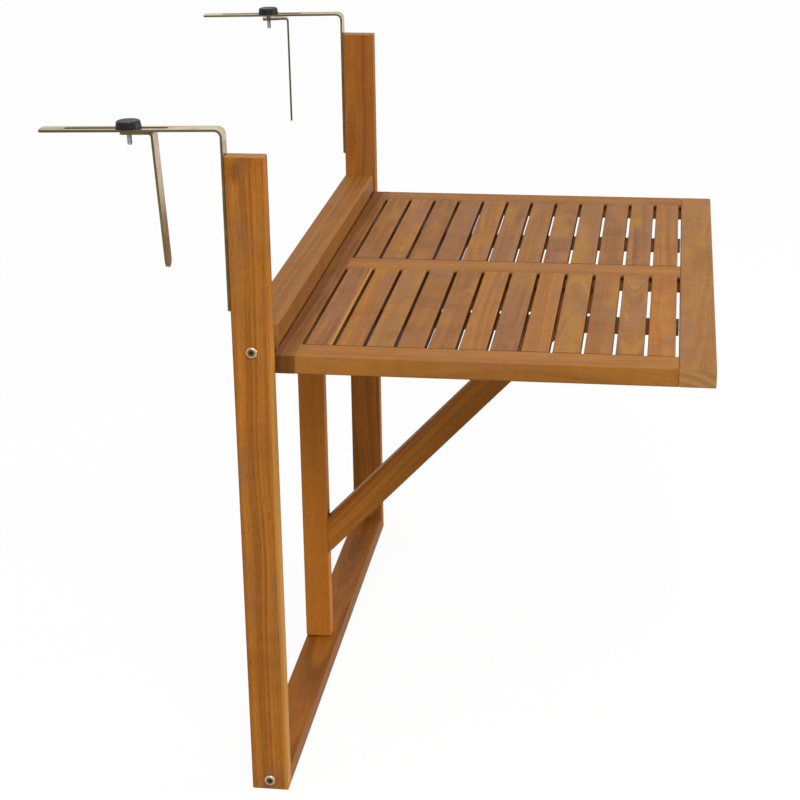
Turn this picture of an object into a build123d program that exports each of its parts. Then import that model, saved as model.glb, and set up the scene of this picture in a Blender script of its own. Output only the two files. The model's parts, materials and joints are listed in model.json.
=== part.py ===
"""Folding balcony table that hangs on a railing.

A slatted wooden top is hinged to a frame of two posts and two rails. A gate of post, bar and brace
swings out under the top and carries it. Two steel hooks on the posts lie over the railing, and a
clamp on each hook slides along a slot and grips the railing from its far side.

Axes: X across the table, +Y towards the railing, Z up. The origin lies midway between the hooks, in
the corner that the railing fills: Z = 0 is the underside of the hook arms and Y = 0 is the face of
the hooks that leans on the railing. Left is -X, as seen by someone who sits at the table.
"""
import os
from math import cos, radians, sin, tan

from build123d import *

# Frame of two posts and two rails
post_height = 635.0
post_width = 36.0
post_thickness = 16.0
table_side_gap = 1.0
upper_rail_height = 30.0
upper_rail_above_table = 20.0
upper_rail_setback = 2.6
bottom_rail_height = 18.0
edge_round = 1.5
end_round = 1.0

# Table top
table_width = 600.0
table_depth = 399.3
table_thickness = 18.0
table_height = 448.0
table_back_gap = 0.8
back_rail_width = 19.6
front_rail_width = 33.6
side_rail_width = 32.5
centre_rail_width = 36.5
slat_count = 12
slat_gap = 3.2
slat_thickness = 9.5
slat_round = 1.2
slat_end_gap = 0.6
tongue_length = 6.0
tongue_thickness = 5.0
tongue_below_top = 3.0
groove_clearance = 0.1
batten_width = 27.0
batten_end_gap = 0.5

# Gate that swings out under the table top
gate_thickness = 16.0
gate_post_width = 28.0
gate_offset = -20.0
gate_end_gap = 1.0
gate_bar_height = 22.0
gate_reach = 318.0
gate_nose = 8.0
gate_top_gap = 0.3
brace_width = 29.0
brace_angle = 46.2
brace_foot_height = 121.5
pivot_pin_radius = 4.0
pivot_pin_depth = 15.0

# Butt hinges between the upper rail and the table's back rail
hinge_width = 24.0
hinge_end_inset = 3.0
hinge_barrel_radius = 2.4
hinge_pin_radius = 1.2
hinge_leaf_thickness = 1.2
hinge_leaf_depth = 12.9
hinge_leaf_lap = 0.6
hinge_knuckle_gap = 0.2
hinge_knuckle_clear = 1.1
hinge_leaf_top_inset = 2.5
hinge_notch_length = 29.0
hinge_notch_depth = 3.0
right_notch_headroom = 1.0

# Hooks and clamps of bent steel strap
hook_width = 16.0
hook_thickness = 2.2
hook_rise = 22.0
hook_drop = 164.0
hook_reach = 164.0
arm_droop = 1.2
hook_bend_radius = 5.0
hook_tip_round = 3.0
slot_start = 47.4
slot_length = 95.0
slot_side_gap = 0.3
stud_radius = 2.5
left_stud_position = 83.2
right_stud_position = 86.8
stud_below = 12.5
stud_in_knob = 5.0
stud_chamfer = 0.4
clamp_gap = 0.1
clamp_tail = 7.0
clamp_short_reach = 23.5
clamp_leg_length = 124.0
left_leg_lean = 1.9
right_leg_lean = -0.9
left_clamp_swivel = 0.0
right_clamp_swivel = 11.5
right_clamp_slack = 2.4
clamp_bend_radius = 2.0
clamp_foot_round = 7.2
knob_base_radius = 11.5
knob_top_radius = 10.6
knob_height = 6.6
knob_round = 1.4
knob_skirt = 1.0

# Fasteners
running_clearance = 0.05
fixed_clearance = 0.02
bolt_radius = 3.0
bolt_head_radius = 5.7
bolt_head_height = 3.0
bolt_head_round = 2.2
bolt_socket_width = 5.0
bolt_socket_depth = 2.2
upper_bolt_lift = 2.7
lower_bolt_lift = 2.0
bolt_past_nut = 6.0
barrel_nut_radius = 5.0
barrel_nut_length = 12.0
barrel_nut_inset = 30.0
frame_dowel_radius = 4.0
frame_dowel_in_post = 9.0
frame_dowel_in_rail = 19.0
frame_dowel_offset = 10.0
table_dowel_radius = 3.0
table_dowel_in_end_rail = 9.0
table_dowel_in_side_rail = 20.0
wood_screw_radius = 2.0
wood_screw_head_radius = 4.0
wood_screw_head_height = 2.0
gate_screw_length = 48.0
hook_screw_length = 28.0
hook_screw_count = 3
hook_screw_margin = 15.0
slat_screw_radius = 1.5
slat_screw_head_radius = 3.0
slat_screw_head_height = 1.8
slat_screw_length = 13.0
hinge_screw_radius = 1.4
hinge_screw_head_radius = 2.6
hinge_screw_head_height = 1.0
hinge_screw_length = 11.0
hinge_screw_margin = 6.0
frame_hinge_screw_setback = 7.4
pan_head_taper = 0.7
recess_width = 0.8
recess_length = 3.2
recess_depth = 0.6

# Places worked out from the sizes above
frame_inside = table_width / 2 + table_side_gap
frame_outside = frame_inside + post_thickness
post_back = -hook_thickness
post_front = post_back - post_width
frame_middle = (post_back + post_front) / 2
post_top = -hook_rise
post_bottom = post_top - post_height
table_top = post_bottom + table_height
table_under = table_top - table_thickness
upper_rail_front = post_front + upper_rail_setback
table_back = upper_rail_front - table_back_gap
table_front = table_back - table_depth
side_rail_inside = table_width / 2 - side_rail_width
centre_rail_half = centre_rail_width / 2
back_rail_front = table_back - back_rail_width
front_rail_back = table_front + front_rail_width
slat_field = back_rail_front - front_rail_back
slat_width = (slat_field - (slat_count + 1) * slat_gap) / slat_count
slat_pitch = slat_width + slat_gap
slat_under = table_top - slat_thickness
batten_middle = (side_rail_inside + centre_rail_half) / 2
upper_rail_top = table_top + upper_rail_above_table
upper_rail_under = upper_rail_top - upper_rail_height
bottom_rail_top = post_bottom + bottom_rail_height
hinge_y = table_back + hinge_leaf_thickness + hinge_barrel_radius - hinge_leaf_lap
hinge_z = table_under + hinge_barrel_radius + hinge_leaf_lap
hinge_far_end = table_width / 2 - hinge_end_inset
hinge_near_end = hinge_far_end - hinge_width
gate_back = post_back
gate_front = gate_back - gate_post_width
gate_axis_y = (gate_back + gate_front) / 2
gate_bar_top = table_under - gate_top_gap
gate_bar_under = gate_bar_top - gate_bar_height
gate_tip = gate_axis_y - gate_reach
hook_middle = frame_inside + post_thickness / 2


def span(x, y, z):
    """A block between the two X values, the two Y values and the two Z values."""
    size = [max(pair) - min(pair) for pair in (x, y, z)]
    middle = [sum(pair) / 2 for pair in (x, y, z)]
    return Pos(*middle) * Box(*size)


def board(x, y, z, along, radius=edge_round, ends=0.0):
    """A sawn board with its long edges rounded, and its end edges too where ends is given."""
    block = span(x, y, z)
    wood = fillet(block.edges().filter_by(along), radius)
    if ends:
        faces = wood.faces().sort_by(along)
        wood = fillet(faces[0].edges() + faces[-1].edges(), ends)
    return wood


def rod(start, direction, radius, length):
    """A round bar that starts at a point and runs along a direction."""
    place = Plane(origin=start, z_dir=direction)
    return place * Cylinder(radius, length, align=(Align.CENTER, Align.CENTER, Align.MIN))


def cone(start, direction, first_radius, last_radius, length):
    """A tapered round bar that starts at a point and runs along a direction."""
    place = Plane(origin=start, z_dir=direction)
    return place * Cone(first_radius, last_radius, length, align=(Align.CENTER, Align.CENTER, Align.MIN))


def moved(point, direction, distance):
    """The point that lies a distance along a direction."""
    return tuple(Vector(*point) + Vector(*direction) * distance)


def cross_recess(seat, direction):
    """Two crossed slots that sink into a screw head from its outer face."""
    place = Plane(origin=seat, z_dir=direction)
    deep = (Align.CENTER, Align.CENTER, Align.MIN)
    first = Box(recess_length, recess_width, recess_depth, align=deep)
    second = Box(recess_width, recess_length, recess_depth, align=deep)
    return place * (first + second)


def pan_screw(seat, direction, radius, head_radius, head_height, length):
    """A screw whose round head stands on the seat, with its shank along the direction."""
    outside = moved(seat, direction, -head_height)
    dome = cone(outside, direction, head_radius * pan_head_taper, head_radius, head_height)
    return dome + rod(seat, direction, radius, length) - cross_recess(outside, direction)


def sunk_screw(seat, direction, radius, head_radius, head_height, length):
    """A screw whose conical head lies flush with the seat."""
    head = cone(seat, direction, head_radius, radius, head_height)
    return head + rod(seat, direction, radius, length) - cross_recess(seat, direction)


def sunk_hole(seat, direction, radius, head_radius, head_height, length):
    """The hole that a flush screw fills, larger by the fixed clearance."""
    grown = radius + fixed_clearance
    head = cone(seat, direction, head_radius + fixed_clearance, grown, head_height + fixed_clearance)
    return head + rod(seat, direction, grown, length + fixed_clearance)


def frame_rail_heights():
    """Heights of the bolts in the upper rail and in the bottom rail, a little above the rails' middles."""
    upper = (upper_rail_top + upper_rail_under) / 2 + upper_bolt_lift
    lower = (bottom_rail_top + post_bottom) / 2 + lower_bolt_lift
    return upper, lower


def frame_joints():
    """Side and height of each of the four bolted joints between a post and a rail."""
    return [(side, height) for side in (-1, 1) for height in frame_rail_heights()]


def hook_screw_heights():
    """Heights of the screws that hold a hook on the back of its post."""
    highest = post_top - hook_screw_margin
    lowest = -hook_drop + hook_screw_margin
    step = (highest - lowest) / (hook_screw_count - 1)
    return [lowest + step * index for index in range(hook_screw_count)]


def make_post(side):
    """One post, drilled for its bolts, dowels and hook screws."""
    x = (side * frame_inside, side * frame_outside)
    post = board(x, (post_front, post_back), (post_bottom, post_top), Axis.Z, ends=end_round)
    inward = (-side, 0, 0)
    for height in frame_rail_heights():
        bolt_start = (side * frame_outside, frame_middle, height)
        post -= rod(bolt_start, inward, bolt_radius + running_clearance, post_thickness)
        dowel_start = (side * (frame_inside + frame_dowel_in_post), frame_middle + frame_dowel_offset, height)
        post -= rod(dowel_start, inward, frame_dowel_radius + fixed_clearance, frame_dowel_in_post)
    for height in hook_screw_heights():
        post -= sunk_hole((side * hook_middle, 0, height), (0, -1, 0), *hook_screw_sizes())
    return post


def drilled_rail(rail, height, underside):
    """Bolt holes, nut holes and dowel holes in both ends of a rail."""
    for side in (-1, 1):
        inward = (-side, 0, 0)
        bolt_start = (side * frame_inside, frame_middle, height)
        bolt_depth = barrel_nut_inset + barrel_nut_radius + bolt_past_nut
        rail -= rod(bolt_start, inward, bolt_radius + running_clearance, bolt_depth)
        nut_foot = (side * (frame_inside - barrel_nut_inset), frame_middle, underside)
        nut_hole = height - underside + barrel_nut_length / 2
        rail -= rod(nut_foot, (0, 0, 1), barrel_nut_radius + fixed_clearance, nut_hole)
        dowel_start = (side * frame_inside, frame_middle + frame_dowel_offset, height)
        rail -= rod(dowel_start, inward, frame_dowel_radius + fixed_clearance, frame_dowel_in_rail)
    return rail


def make_upper_rail():
    """The rail that carries the hinges, notched at each end for the table's hinge leaf.

    The left notch is open at the top, and the right one ends just above the table top.
    """
    y = (upper_rail_front, post_back)
    rail = board((-frame_inside, frame_inside), y, (upper_rail_under, upper_rail_top), Axis.X)
    rail = drilled_rail(rail, frame_rail_heights()[0], upper_rail_under)
    for side in (-1, 1):
        notch_x = (side * (frame_inside - hinge_notch_length), side * frame_inside)
        notch_y = (upper_rail_front, upper_rail_front + hinge_notch_depth)
        notch_top = upper_rail_top if side < 0 else table_top + right_notch_headroom
        rail -= span(notch_x, notch_y, (upper_rail_under, notch_top))
    screw_depth = hinge_screw_length + hinge_leaf_thickness
    for seat in frame_hinge_seats():
        rail -= rod(seat, (0, 0, 1), hinge_screw_radius + fixed_clearance, screw_depth)
    pin_start = (gate_offset, gate_axis_y, upper_rail_under)
    return rail - rod(pin_start, (0, 0, 1), pivot_pin_radius + running_clearance, pivot_pin_depth)


def make_bottom_rail():
    """The lower rail, with the hole that the gate's lower pin turns in."""
    y = (post_front, post_back)
    rail = board((-frame_inside, frame_inside), y, (post_bottom, bottom_rail_top), Axis.X)
    rail = drilled_rail(rail, frame_rail_heights()[1], post_bottom)
    pin_start = (gate_offset, gate_axis_y, bottom_rail_top)
    return rail - rod(pin_start, (0, 0, -1), pivot_pin_radius + running_clearance, pivot_pin_depth)


def make_frame_bolts():
    """Socket-headed bolts that run through the posts into the barrel nuts."""
    bolts = []
    for side, height in frame_joints():
        inward = (-side, 0, 0)
        seat = (side * frame_outside, frame_middle, height)
        outside = moved(seat, inward, -bolt_head_height)
        head = rod(outside, inward, bolt_head_radius, bolt_head_height)
        outer_face = head.faces().sort_by(Axis.X)[-1 if side > 0 else 0]
        head = fillet(outer_face.edges(), bolt_head_round)
        hexagon = RegularPolygon(bolt_socket_width / 2, 6, major_radius=False)
        socket = extrude(Plane(origin=outside, z_dir=inward) * hexagon, bolt_socket_depth)
        length = post_thickness + barrel_nut_inset + barrel_nut_radius + bolt_past_nut / 2
        bolts.append(head - socket + rod(seat, inward, bolt_radius, length))
    return bolts


def make_barrel_nuts():
    """Cross nuts that the bolts pull on, let into the rails from below."""
    nuts = []
    for side, height in frame_joints():
        foot = (side * (frame_inside - barrel_nut_inset), frame_middle, height - barrel_nut_length / 2)
        nut = rod(foot, (0, 0, 1), barrel_nut_radius, barrel_nut_length)
        across = (foot[0] - barrel_nut_radius, frame_middle, height)
        nuts.append(nut - rod(across, (1, 0, 0), bolt_radius + fixed_clearance, 2 * barrel_nut_radius))
    return nuts


def make_frame_dowels():
    """Wooden dowels that keep each rail from turning on its bolt."""
    dowels = []
    for side, height in frame_joints():
        start = (side * (frame_inside + frame_dowel_in_post), frame_middle + frame_dowel_offset, height)
        length = frame_dowel_in_post + frame_dowel_in_rail
        dowels.append(rod(start, (-side, 0, 0), frame_dowel_radius, length))
    return dowels


def end_rail(y):
    """A rail that runs across the whole width of the table, between the two Y values."""
    half = table_width / 2
    return board((-half, half), y, (table_under, table_top), Axis.X, ends=end_round)


def table_dowel_places():
    """X positions of the dowels between the end rails and the rails between them."""
    side_middle = table_width / 2 - side_rail_width / 2
    return [-side_middle, -centre_rail_width / 4, centre_rail_width / 4, side_middle]


def table_dowels(radius):
    """Dowels that join the side and centre rails to the back and front rails."""
    height = table_under + table_dowel_radius * 2
    length = table_dowel_in_end_rail + table_dowel_in_side_rail
    dowels = []
    for x in table_dowel_places():
        dowels.append(rod((x, back_rail_front + table_dowel_in_end_rail, height), (0, -1, 0), radius, length))
        dowels.append(rod((x, front_rail_back - table_dowel_in_end_rail, height), (0, 1, 0), radius, length))
    return dowels


def groove(edge, inward):
    """The groove along a rail's edge that takes the tongues of the slats."""
    deep = tongue_length + slat_end_gap + groove_clearance
    top = table_top - tongue_below_top + groove_clearance
    bottom = table_top - tongue_below_top - tongue_thickness - groove_clearance
    return span((edge, edge - inward * deep), (back_rail_front, front_rail_back), (bottom, top))


def make_table_rails():
    """The five rails of the table top, grooved and drilled."""
    y = (back_rail_front, front_rail_back)
    z = (table_under, table_top)
    half = table_width / 2
    rails = {
        "table_back_rail": end_rail((back_rail_front, table_back)),
        "table_front_rail": end_rail((table_front, front_rail_back)),
        "table_left_rail": board((-half, -side_rail_inside), y, z, Axis.Y) - groove(-side_rail_inside, 1),
        "table_right_rail": board((side_rail_inside, half), y, z, Axis.Y) - groove(side_rail_inside, -1),
        "table_centre_rail": board((-centre_rail_half, centre_rail_half), y, z, Axis.Y)
        - groove(-centre_rail_half, -1) - groove(centre_rail_half, 1),
    }
    holes = table_dowels(table_dowel_radius + fixed_clearance)
    for name in rails:
        for hole in holes:
            rails[name] -= hole
    hinge_hole = hinge_screw_radius + fixed_clearance
    for seat in table_hinge_seats():
        rails["table_back_rail"] -= rod(seat, (0, -1, 0), hinge_hole, hinge_screw_length)
    return rails


def slat_middle(index):
    """Y of the middle of a slat, counted from the back."""
    return back_rail_front - slat_gap - slat_width / 2 - index * slat_pitch


def slat_screw_seat(side, index):
    """Where the screw that holds a slat on its batten meets the batten's underside."""
    return (side * batten_middle, slat_middle(index), table_under)


def make_slat(side, index):
    """One slat, with a tongue at each end and the hole for its screw."""
    middle = slat_middle(index)
    y = (middle - slat_width / 2, middle + slat_width / 2)
    inner = centre_rail_half + slat_end_gap
    outer = side_rail_inside - slat_end_gap
    slat = board((side * inner, side * outer), y, (slat_under, table_top), Axis.X, slat_round)
    tongue_top = table_top - tongue_below_top
    tongue_y = (y[0] + slat_round, y[1] - slat_round)
    for start, end in ((inner, inner - tongue_length), (outer, outer + tongue_length)):
        slat += span((side * start, side * end), tongue_y, (tongue_top - tongue_thickness, tongue_top))
    return slat - sunk_hole(slat_screw_seat(side, index), (0, 0, 1), *slat_screw_sizes())


def slat_screw_sizes():
    """Shank radius, head radius, head height and length of a slat screw."""
    return slat_screw_radius, slat_screw_head_radius, slat_screw_head_height, slat_screw_length


def make_batten(side):
    """The flat batten that ties one row of slats together from below."""
    x = (side * (batten_middle - batten_width / 2), side * (batten_middle + batten_width / 2))
    y = (back_rail_front - batten_end_gap, front_rail_back + batten_end_gap)
    batten = span(x, y, (table_under, slat_under))
    for index in range(slat_count):
        batten -= sunk_hole(slat_screw_seat(side, index), (0, 0, 1), *slat_screw_sizes())
    return batten


def make_slat_screws():
    """Flush screws that hold the slats on the battens."""
    seats = [slat_screw_seat(side, index) for side in (-1, 1) for index in range(slat_count)]
    return [sunk_screw(seat, (0, 0, 1), *slat_screw_sizes()) for seat in seats]


def hinge_spans():
    """Near and far end of the table's knuckle, between the two knuckles of the frame leaf."""
    third = hinge_width / 3
    return hinge_near_end + third, hinge_far_end - third


def hinge_screw_places():
    """X positions of the two screws in one hinge leaf, for the right-hand hinge."""
    return hinge_near_end + hinge_screw_margin, hinge_far_end - hinge_screw_margin


def frame_hinge_seats():
    """Where the screws of the frame leaves meet the underside of those leaves."""
    y = hinge_y + frame_hinge_screw_setback
    z = upper_rail_under - hinge_leaf_thickness
    return [(side * x, y, z) for side in (-1, 1) for x in hinge_screw_places()]


def table_hinge_seats():
    """Where the screws of the table leaves meet the outer face of those leaves."""
    y = table_back + hinge_leaf_thickness
    z = (hinge_z + hinge_barrel_radius + hinge_knuckle_clear + table_top - hinge_leaf_top_inset) / 2
    return [(side * x, y, z) for side in (-1, 1) for x in hinge_screw_places()]


def knuckle(x0, x1, hole_radius):
    """One knuckle of a hinge, bored for the pin."""
    length = abs(x1 - x0)
    start = (min(x0, x1), hinge_y, hinge_z)
    return rod(start, (1, 0, 0), hinge_barrel_radius, length), rod(start, (1, 0, 0), hole_radius, length)


def make_frame_hinge_leaves():
    """Leaves under the upper rail, each with the two outer knuckles."""
    leaves = []
    near, far = hinge_spans()
    for side in (-1, 1):
        plate_y = (hinge_y, hinge_y + hinge_leaf_depth)
        plate_z = (upper_rail_under - hinge_leaf_thickness, upper_rail_under)
        leaf = span((side * hinge_near_end, side * hinge_far_end), plate_y, plate_z)
        web_y = (hinge_y + hinge_barrel_radius - hinge_leaf_thickness, hinge_y + hinge_barrel_radius)
        bores = []
        for x0, x1 in ((hinge_near_end, near - hinge_knuckle_gap), (far + hinge_knuckle_gap, hinge_far_end)):
            barrel, bore = knuckle(side * x0, side * x1, hinge_pin_radius + fixed_clearance)
            leaf += span((side * x0, side * x1), web_y, (hinge_z, plate_z[0])) + barrel
            bores.append(bore)
        for bore in bores:
            leaf -= bore
        for seat in frame_hinge_seats():
            leaf -= rod(seat, (0, 0, 1), hinge_screw_radius + fixed_clearance, hinge_leaf_thickness)
        leaves.append(leaf)
    return leaves


def make_table_hinge_leaves():
    """Leaves on the back of the table's back rail, each with the middle knuckle."""
    leaves = []
    near, far = hinge_spans()
    plate_y = (table_back, table_back + hinge_leaf_thickness)
    plate_foot = hinge_z + hinge_barrel_radius + hinge_knuckle_clear
    for side in (-1, 1):
        plate_z = (plate_foot, table_top - hinge_leaf_top_inset)
        leaf = span((side * hinge_near_end, side * hinge_far_end), plate_y, plate_z)
        barrel, bore = knuckle(side * near, side * far, hinge_pin_radius + running_clearance)
        leaf += span((side * near, side * far), plate_y, (hinge_z, plate_foot)) + barrel
        leaf -= bore
        for seat in table_hinge_seats():
            leaf -= rod(seat, (0, -1, 0), hinge_screw_radius + fixed_clearance, hinge_leaf_thickness)
        leaves.append(leaf)
    return leaves


def make_hinge_pins():
    """Pins that the hinges turn on."""
    starts = [min(side * hinge_near_end, side * hinge_far_end) for side in (-1, 1)]
    return [rod((x, hinge_y, hinge_z), (1, 0, 0), hinge_pin_radius, hinge_width) for x in starts]


def hinge_screws(seats, direction):
    """Small round-headed screws of the hinge leaves."""
    sizes = (hinge_screw_radius, hinge_screw_head_radius, hinge_screw_head_height, hinge_screw_length)
    return [pan_screw(seat, direction, *sizes) for seat in seats]


def gate_x():
    """The two sides of the gate's boards."""
    return gate_offset - gate_thickness / 2, gate_offset + gate_thickness / 2


def brace_slope():
    """Rise of the brace for each millimetre that it reaches forward."""
    return tan(radians(brace_angle))


def brace_rise():
    """Height of the brace's cut end on the gate post."""
    return brace_width * (1 + brace_slope() ** 2) ** 0.5


def brace_foot():
    """Lower corner of the brace on the gate post."""
    return post_bottom + brace_foot_height


def gate_screw_lines():
    """Seat and direction of the screws that hold the gate together."""
    bar_middle = (gate_bar_top + gate_bar_under) / 2
    brace_middle = brace_foot() + brace_rise() / 2
    brace_reach = (gate_bar_under - brace_middle) / brace_slope()
    return [
        ((gate_offset, gate_back, bar_middle), (0, -1, 0)),
        ((gate_offset, gate_back, brace_middle), (0, -1, 0)),
        ((gate_offset, gate_front - brace_reach, gate_bar_top), (0, 0, -1)),
    ]


def gate_screw_sizes():
    """Shank radius, head radius, head height and length of a gate screw."""
    return wood_screw_radius, wood_screw_head_radius, wood_screw_head_height, gate_screw_length


def drilled_for_gate_screws(wood):
    """A gate board with the holes of the gate's screws."""
    for seat, direction in gate_screw_lines():
        wood -= sunk_hole(seat, direction, *gate_screw_sizes())
    return wood


def gate_pin_ends():
    """Lower end of the gate's lower pin and of its upper pin."""
    post_foot = bottom_rail_top + gate_end_gap
    post_head = upper_rail_under - gate_end_gap
    lower = (gate_offset, gate_axis_y, bottom_rail_top - pivot_pin_depth + gate_end_gap)
    upper = (gate_offset, gate_axis_y, post_head - pivot_pin_depth)
    return post_foot, post_head, lower, upper


def make_gate_post():
    """The upright of the gate, which turns on a pin at each end."""
    post_foot, post_head, lower, upper = gate_pin_ends()
    post = board(gate_x(), (gate_front, gate_back), (post_foot, post_head), Axis.Z, ends=end_round)
    for start in (lower, upper):
        post -= rod(start, (0, 0, 1), pivot_pin_radius + fixed_clearance, 2 * pivot_pin_depth)
    return drilled_for_gate_screws(post)


def gate_plank(*corners):
    """A gate board with its outline in the YZ plane."""
    place = Plane(origin=(gate_x()[0], 0, 0), x_dir=(0, 1, 0), z_dir=(1, 0, 0))
    return extrude(place * make_face(Polyline(*corners, close=True)), gate_thickness)


def make_gate_bar():
    """The bar under the table top, with its nose cut so that it slides in under the rails."""
    bar = gate_plank(
        (gate_front, gate_bar_under),
        (gate_front, gate_bar_top),
        (gate_tip + gate_nose, gate_bar_top),
        (gate_tip, gate_bar_top - gate_nose),
        (gate_tip, gate_bar_under),
    )
    return drilled_for_gate_screws(fillet(bar.edges().filter_by(Axis.Y), edge_round))


def make_gate_brace():
    """The slanting brace between the gate post and the gate bar."""
    foot = brace_foot()
    head = foot + brace_rise()
    lower_reach = (gate_bar_under - foot) / brace_slope()
    upper_reach = (gate_bar_under - head) / brace_slope()
    brace = gate_plank(
        (gate_front, foot),
        (gate_front, head),
        (gate_front - upper_reach, gate_bar_under),
        (gate_front - lower_reach, gate_bar_under),
    )
    long_edges = [edge for edge in brace.edges() if edge.length > upper_reach]
    return drilled_for_gate_screws(fillet(long_edges, edge_round))


def make_gate_screws():
    """Flush screws that hold the gate's bar and brace."""
    return [sunk_screw(seat, direction, *gate_screw_sizes()) for seat, direction in gate_screw_lines()]


def make_gate_pins():
    """Steel pins in the ends of the gate post that turn in the rails."""
    lower, upper = gate_pin_ends()[2:]
    length = 2 * pivot_pin_depth - gate_end_gap
    return [rod(start, (0, 0, 1), pivot_pin_radius, length) for start in (lower, upper)]


def strap(outline, side):
    """Bent flat steel with its outline in the YZ plane, as wide as a hook and centred on a post."""
    x = side * hook_middle - hook_width / 2
    place = Plane(origin=(x, 0, 0), x_dir=(0, 1, 0), z_dir=(1, 0, 0))
    return extrude(place * outline, hook_width)


def bent(metal, side, corner, radius):
    """A strap with the crosswise edge at a corner of its outline rounded into a bend."""
    crosswise = metal.edges().filter_by(Axis.X)
    edge = crosswise.sort_by_distance((side * hook_middle, *corner))[0]
    return fillet(edge, radius)


def stud_position(side):
    """How far out along the arm a clamp stands."""
    return left_stud_position if side < 0 else right_stud_position


def on_arm(shape):
    """A shape made on a level arm, turned down with the arm about the corner of the hook."""
    return Rot(-arm_droop, 0, 0) * shape


def make_hook(side):
    """The hook: a strap on the back of the post, bent out over the railing, with a slot in its arm."""
    slope = radians(arm_droop)
    tip = (hook_reach * cos(slope), -hook_reach * sin(slope))
    tip_top = (tip[0] + hook_thickness * sin(slope), tip[1] + hook_thickness * cos(slope))
    inner_corner = (0, 0)
    outer_corner = (-hook_thickness, hook_thickness * (1 + sin(slope)) / cos(slope))
    hook = strap(make_face(Polyline(
        (-hook_thickness, -hook_drop),
        outer_corner,
        tip_top,
        tip,
        inner_corner,
        (0, -hook_drop),
        close=True,
    )), side)
    hook = bent(hook, side, outer_corner, hook_bend_radius + hook_thickness)
    hook = bent(hook, side, inner_corner, hook_bend_radius)
    tip_corners = hook.faces().sort_by(Axis.Y)[-1].edges().filter_by(Axis.X, reverse=True)
    foot_corners = hook.faces().sort_by(Axis.Z)[0].edges().filter_by(Axis.Y)
    hook = fillet(tip_corners + foot_corners, hook_tip_round)
    slot_width = 2 * (stud_radius + slot_side_gap)
    slot_middle = slot_start + slot_length / 2
    slot = Pos(side * hook_middle, slot_middle, 0) * Rot(0, 0, 90) * SlotOverall(slot_length, slot_width)
    hook -= on_arm(extrude(slot, hook_thickness))
    for height in hook_screw_heights():
        hook -= sunk_hole((side * hook_middle, 0, height), (0, -1, 0), *hook_screw_sizes())
    return hook


def hook_screw_sizes():
    """Shank radius, head radius, head height and length of a hook screw."""
    return wood_screw_radius, wood_screw_head_radius, wood_screw_head_height, hook_screw_length


def make_hook_screws():
    """Flush screws that hold the hooks on the posts, so that the hooks lean flat on the railing."""
    seats = [(side * hook_middle, 0, height) for side in (-1, 1) for height in hook_screw_heights()]
    return [sunk_screw(seat, (0, -1, 0), *hook_screw_sizes()) for seat in seats]


def clamp_slack(side):
    """How far the clamp hangs below its arm: the left one is done up, the right one is a little loose."""
    return 0.0 if side < 0 else right_clamp_slack


def make_clamp_bracket(side):
    """The clamp: a bent strap whose long leg grips the railing from its far side."""
    leg_lean = left_leg_lean if side < 0 else right_leg_lean
    swivel = left_clamp_swivel if side < 0 else right_clamp_swivel
    top = -clamp_gap - clamp_slack(side)
    under = top - hook_thickness
    tail = stud_position(side) + clamp_tail
    bend_face = stud_position(side) - clamp_short_reach
    inner_face = bend_face + hook_thickness
    lean = clamp_leg_length * tan(radians(leg_lean))
    bracket = strap(make_face(Polyline(
        (tail, top),
        (bend_face, top),
        (bend_face - lean, top - clamp_leg_length),
        (inner_face - lean, top - clamp_leg_length),
        (inner_face, under),
        (tail, under),
        close=True,
    )), side)
    bracket = bent(bracket, side, (bend_face, top), clamp_bend_radius + hook_thickness)
    bracket = bent(bracket, side, (inner_face, under), clamp_bend_radius)
    foot_corners = bracket.faces().sort_by(Axis.Z)[0].edges().filter_by(Axis.X, reverse=True)
    bracket = fillet(foot_corners, clamp_foot_round)
    tail_corners = bracket.faces().sort_by(Axis.Y)[-1].edges().filter_by(Axis.Z)
    bracket = fillet(tail_corners, hook_tip_round)
    stud_foot = (side * hook_middle, stud_position(side), under)
    bracket -= rod(stud_foot, (0, 0, 1), stud_radius + running_clearance, hook_thickness)
    return on_arm(bracket.rotate(Axis(stud_foot, (0, 0, 1)), swivel))


def make_clamp_stud(side):
    """The threaded stud that runs from the knob through the slot and the clamp."""
    foot = (side * hook_middle, stud_position(side), -stud_below - clamp_slack(side))
    length = stud_below + hook_thickness + clamp_gap + stud_in_knob
    stud = rod(foot, (0, 0, 1), stud_radius, length)
    return on_arm(chamfer(stud.edges().filter_by(GeomType.CIRCLE), stud_chamfer))


def make_knob(side):
    """The plastic knob that tightens the clamp, bored for the stud."""
    up = (0, 0, 1)
    base = (side * hook_middle, stud_position(side), hook_thickness + clamp_gap)
    skirt = rod(base, up, knob_base_radius, knob_skirt)
    cap_height = knob_height - knob_skirt
    cap = cone(moved(base, up, knob_skirt), up, knob_base_radius, knob_top_radius, cap_height)
    knob = skirt + cap
    knob = fillet(knob.faces().sort_by(Axis.Z)[-1].edges(), knob_round)
    return on_arm(knob - rod(base, up, stud_radius + running_clearance, stud_in_knob + clamp_gap))


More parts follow.
